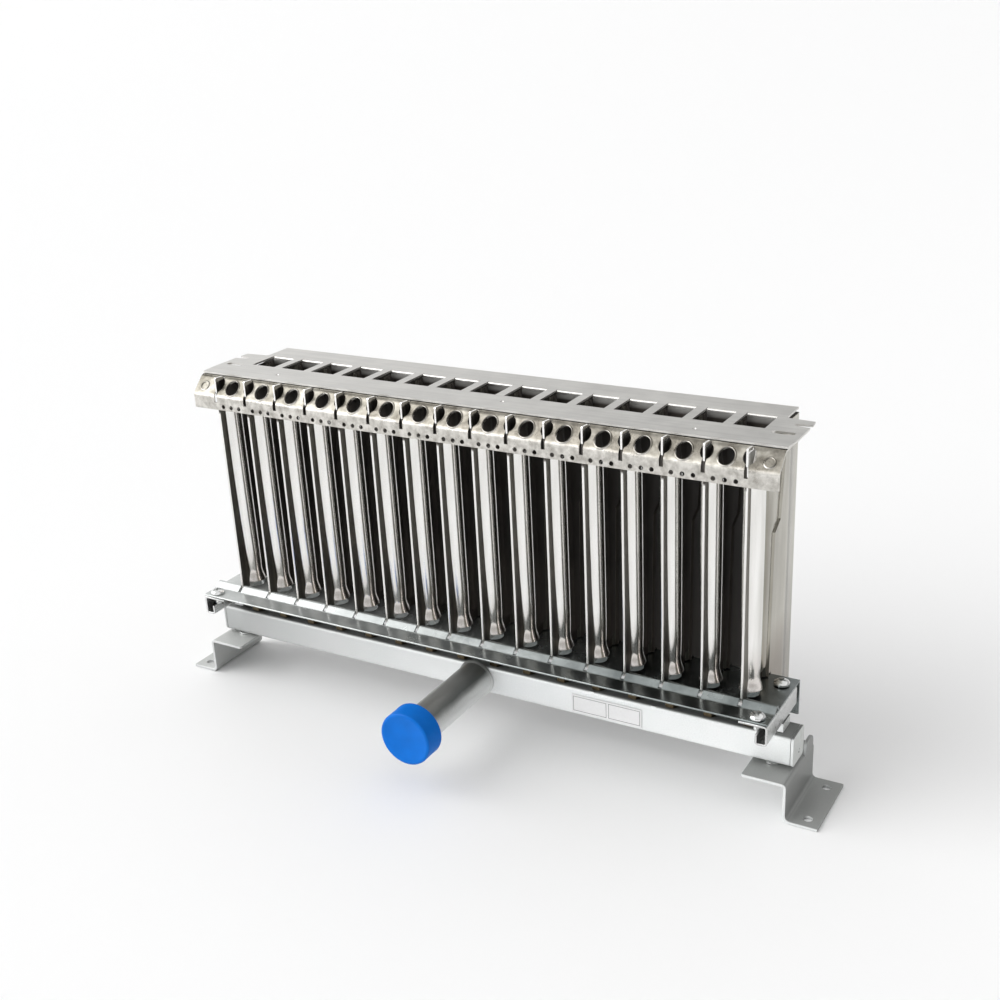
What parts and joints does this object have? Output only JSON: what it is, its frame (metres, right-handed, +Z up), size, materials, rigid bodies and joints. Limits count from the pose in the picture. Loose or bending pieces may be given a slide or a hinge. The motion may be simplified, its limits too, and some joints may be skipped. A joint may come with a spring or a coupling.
{
  "type": "gas burner assembly",
  "caption": "Atmospheric gas burner: upright stainless blades between a slotted base and top plate, fed by jets on a square manifold with a capped inlet pipe and Z-shaped feet.",
  "frame": {"origin": "on the ground plane under the feet, in the middle of the assembly's box", "axes": "+X along the manifold, -Y towards the inlet's open end, +Y towards the flame side of the blades, +Z up as the assembly stands on its feet"},
  "size_m": [0.381, 0.1256, 0.1816],
  "materials": {
    "blade_stainless": "bright rolled stainless, lightly heat tinted",
    "plate_stainless": "satin stainless",
    "base_galvanised": "dark glossy galvanised",
    "silver_metal": "silver-grey, semi-matt",
    "channel_zinc": "zinc plated",
    "fastener_zinc": "bright zinc",
    "jet_brass": "turned brass",
    "cap_plastic": "smooth blue polythene",
    "label_film": "blank white film"
  },
  "bodies": {
    "burner": {"burner_blade_01": "blade_stainless", "burner_blade_02": "blade_stainless", "burner_blade_03": "blade_stainless", "burner_blade_04": "blade_stainless", "burner_blade_05": "blade_stainless", "burner_blade_06": "blade_stainless", "burner_blade_07": "blade_stainless", "burner_blade_08": "blade_stainless", "burner_blade_09": "blade_stainless", "burner_blade_10": "blade_stainless", "burner_blade_11": "blade_stainless", "burner_blade_12": "blade_stainless", "burner_blade_13": "blade_stainless", "burner_blade_14": "blade_stainless", "burner_blade_15": "blade_stainless", "burner_blade_16": "blade_stainless", "top_plate": "plate_stainless", "front_rail": "plate_stainless", "base_plate": "base_galvanised", "manifold_tube": "silver_metal", "manifold_end_cap_left": "silver_metal", "manifold_end_cap_right": "silver_metal", "manifold_spacer_left": "silver_metal", "manifold_spacer_right": "silver_metal", "inlet_pipe": "silver_metal", "foot_left": "silver_metal", "foot_right": "silver_metal", "end_channel_left": "channel_zinc", "end_channel_right": "channel_zinc", "base_screw_front_left": "fastener_zinc", "base_screw_front_right": "fastener_zinc", "base_screw_rear_left": "fastener_zinc", "base_screw_rear_right": "fastener_zinc", "foot_stud_left": "fastener_zinc", "foot_stud_right": "fastener_zinc", "foot_washer_left": "fastener_zinc", "foot_washer_right": "fastener_zinc", "foot_nut_left": "fastener_zinc", "foot_nut_right": "fastener_zinc", "inlet_thread_end": "fastener_zinc", "gas_jet_01": "jet_brass", "gas_jet_02": "jet_brass", "gas_jet_03": "jet_brass", "gas_jet_04": "jet_brass", "gas_jet_05": "jet_brass", "gas_jet_06": "jet_brass", "gas_jet_07": "jet_brass", "gas_jet_08": "jet_brass", "gas_jet_09": "jet_brass", "gas_jet_10": "jet_brass", "gas_jet_11": "jet_brass", "gas_jet_12": "jet_brass", "gas_jet_13": "jet_brass", "gas_jet_14": "jet_brass", "gas_jet_15": "jet_brass", "gas_jet_16": "jet_brass", "rating_label": "label_film"},
    "inlet_cap": {"inlet_cap": "cap_plastic"}
  },
  "joints": [
    {"name": "inlet_cap_pull", "type": "slide", "parent": "burner", "child": "inlet_cap", "axis": [0, -1, 0], "range_m": [0, 0.03]}
  ]
}
